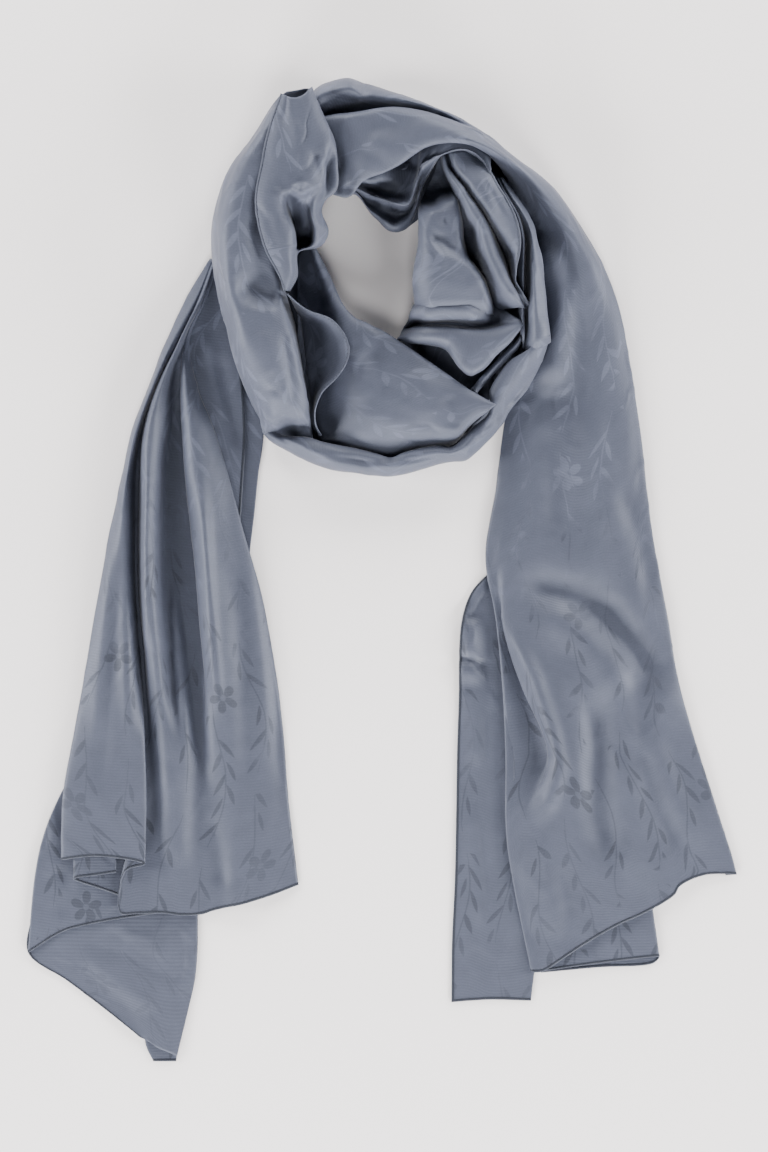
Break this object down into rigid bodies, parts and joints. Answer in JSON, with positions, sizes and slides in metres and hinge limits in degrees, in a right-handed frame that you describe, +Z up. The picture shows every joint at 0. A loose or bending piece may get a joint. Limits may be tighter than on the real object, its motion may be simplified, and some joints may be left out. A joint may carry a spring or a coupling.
{
  "type": "hijab scarf",
  "caption": "Rectangular satin jacquard scarf wound once into a neck ring with pleated tails, laid flat on a surface.",
  "frame": {"origin": "middle of the outline seen from above, on the surface the scarf rests on", "axes": "+X to the right of the scarf, +Y from the tails towards the nape stretch, +Z up out of the surface"},
  "size_m": [0.4613, 0.6386, 0.0486],
  "materials": {
    "left_tail": "satin weave with a soft sheen",
    "left_tail_lap": "satin weave with a soft sheen",
    "left_tail_edge": "satin weave with a soft sheen",
    "left_tail_under": "satin weave with a soft sheen",
    "left_tail_corner": "satin weave with a soft sheen",
    "left_tail_tip": "satin weave with a soft sheen",
    "left_band": "satin weave with a soft sheen",
    "cuff": "satin weave with a soft sheen",
    "inner_margin": "satin weave with a soft sheen",
    "front_band": "satin weave with a soft sheen",
    "front_roll": "satin weave with a soft sheen",
    "right_gathers": "satin weave with a soft sheen",
    "outer_strip": "satin weave with a soft sheen",
    "gathers_front": "satin weave with a soft sheen",
    "gathers_strip": "satin weave with a soft sheen",
    "nape_bunch": "satin weave with a soft sheen",
    "right_tail": "satin weave with a soft sheen",
    "right_tail_under": "satin weave with a soft sheen",
    "right_tail_flap": "satin weave with a soft sheen",
    "neck_core": "satin weave with a soft sheen"
  },
  "bodies": {
    "root": {"left_tail": "left_tail", "left_tail_lap": "left_tail_lap", "left_tail_edge": "left_tail_edge", "left_tail_under": "left_tail_under", "left_tail_corner": "left_tail_corner", "left_tail_tip": "left_tail_tip", "left_band": "left_band", "cuff": "cuff", "inner_margin": "inner_margin", "front_band": "front_band", "front_roll": "front_roll", "right_gathers": "right_gathers", "outer_strip": "outer_strip", "gathers_front": "gathers_front", "gathers_strip": "gathers_strip", "nape_bunch": "nape_bunch", "right_tail": "right_tail", "right_tail_under": "right_tail_under", "right_tail_flap": "right_tail_flap", "neck_core": "neck_core"}
  },
  "joints": []
}
